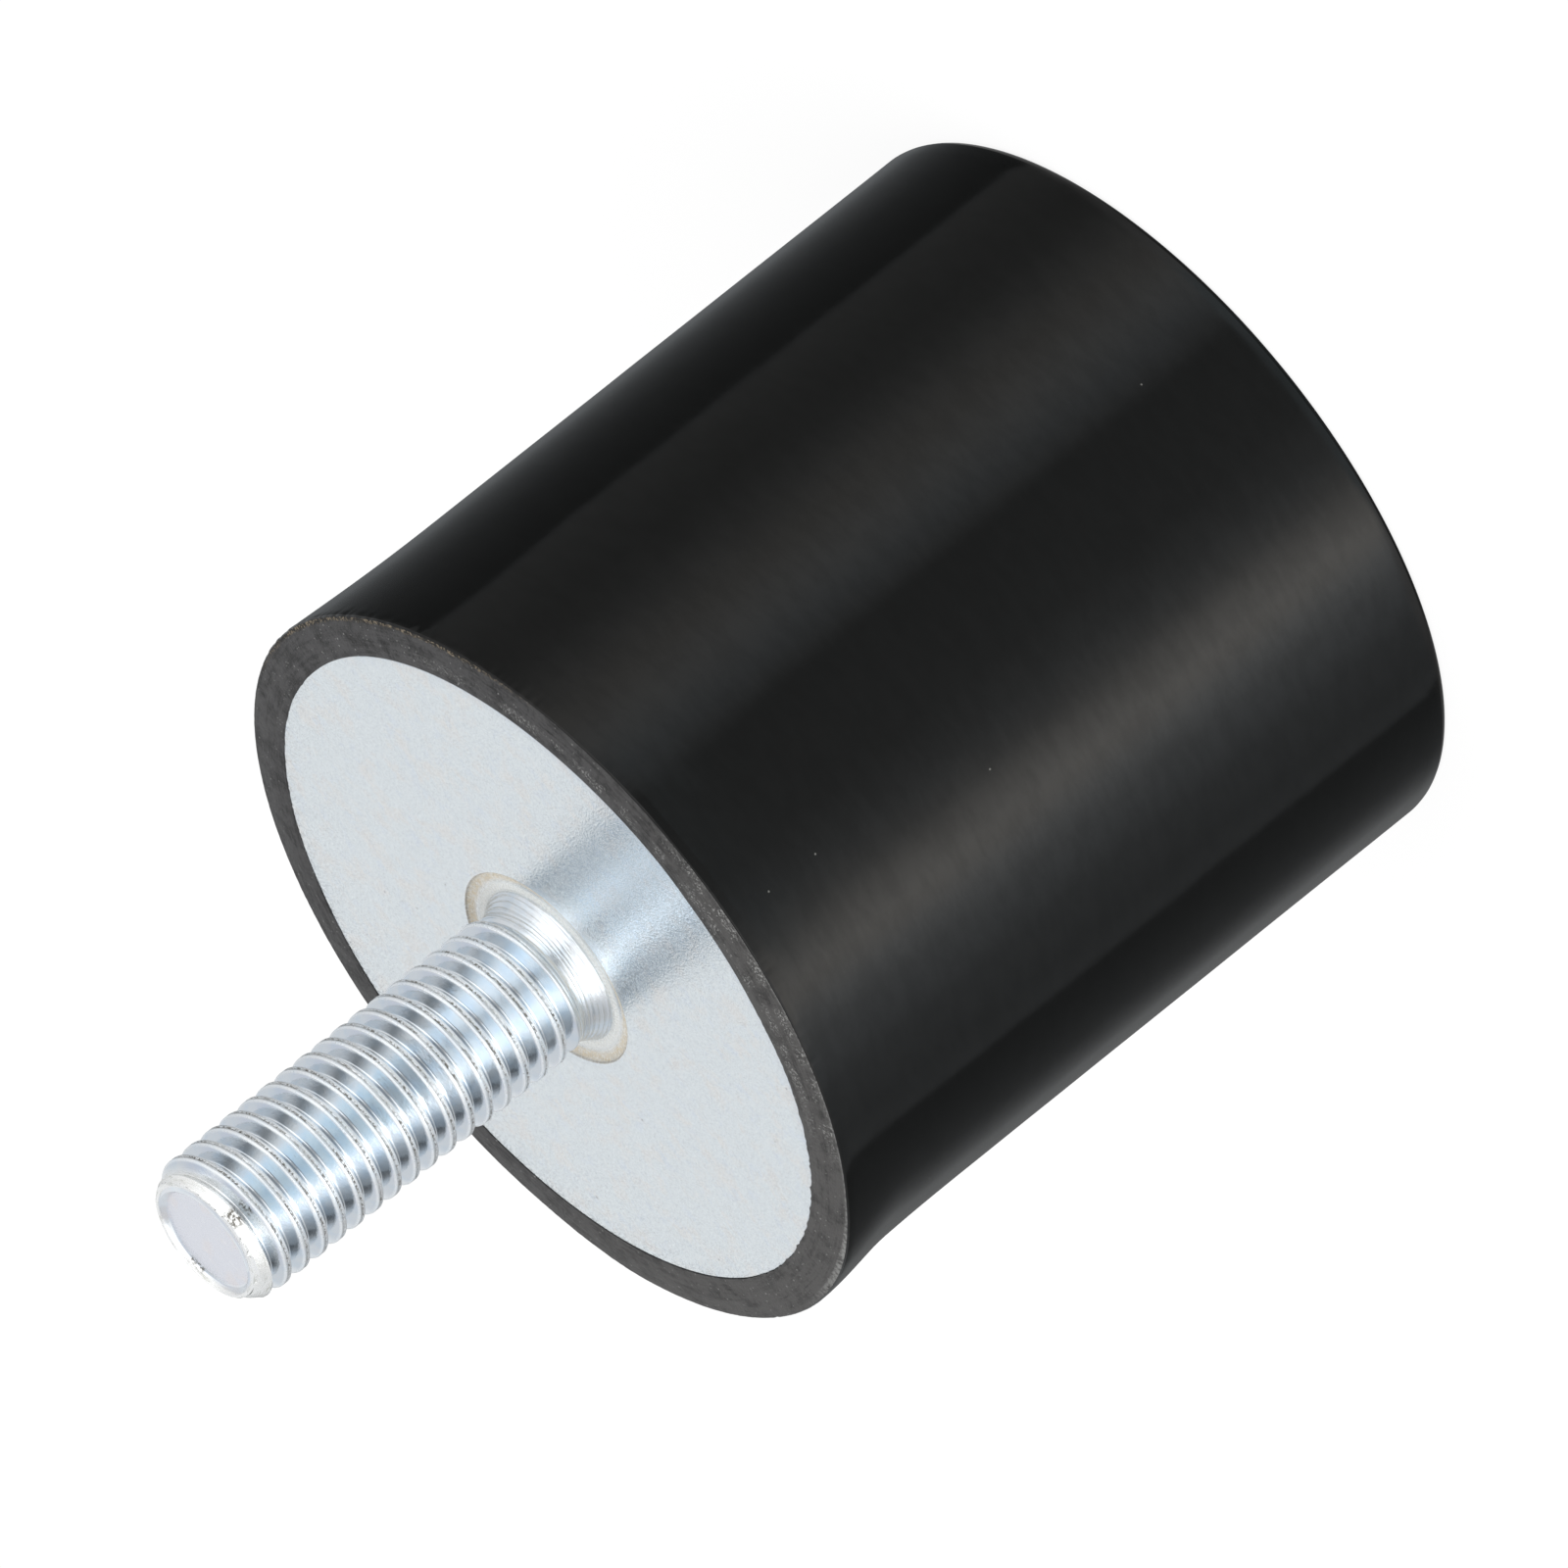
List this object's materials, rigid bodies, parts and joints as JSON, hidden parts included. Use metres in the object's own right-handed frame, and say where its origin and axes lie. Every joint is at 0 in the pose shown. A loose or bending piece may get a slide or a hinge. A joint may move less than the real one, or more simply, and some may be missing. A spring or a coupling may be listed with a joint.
{
  "type": "rubber buffer",
  "caption": "Cylindrical rubber buffer with a steel plate let into one end, a threaded stud standing from the plate and a plain flat rubber face at the other end.",
  "frame": {"origin": "centre of the flat free face of the rubber, on which the buffer stands", "axes": "+Z along the buffer's axis, from the free rubber face towards the tip of the stud; turned about Z, so X and Y are alike"},
  "size_m": [0.05, 0.05, 0.0783],
  "materials": {
    "black_rubber": "satin moulded side, matt dark grey cut rim",
    "zinc_plated_plate": "satin bright zinc",
    "zinc_plated_stud": "bright zinc on a rolled thread"
  },
  "bodies": {
    "root": {"rubber_body": "black_rubber", "end_plate": "zinc_plated_plate", "threaded_stud": "zinc_plated_stud"}
  },
  "joints": []
}
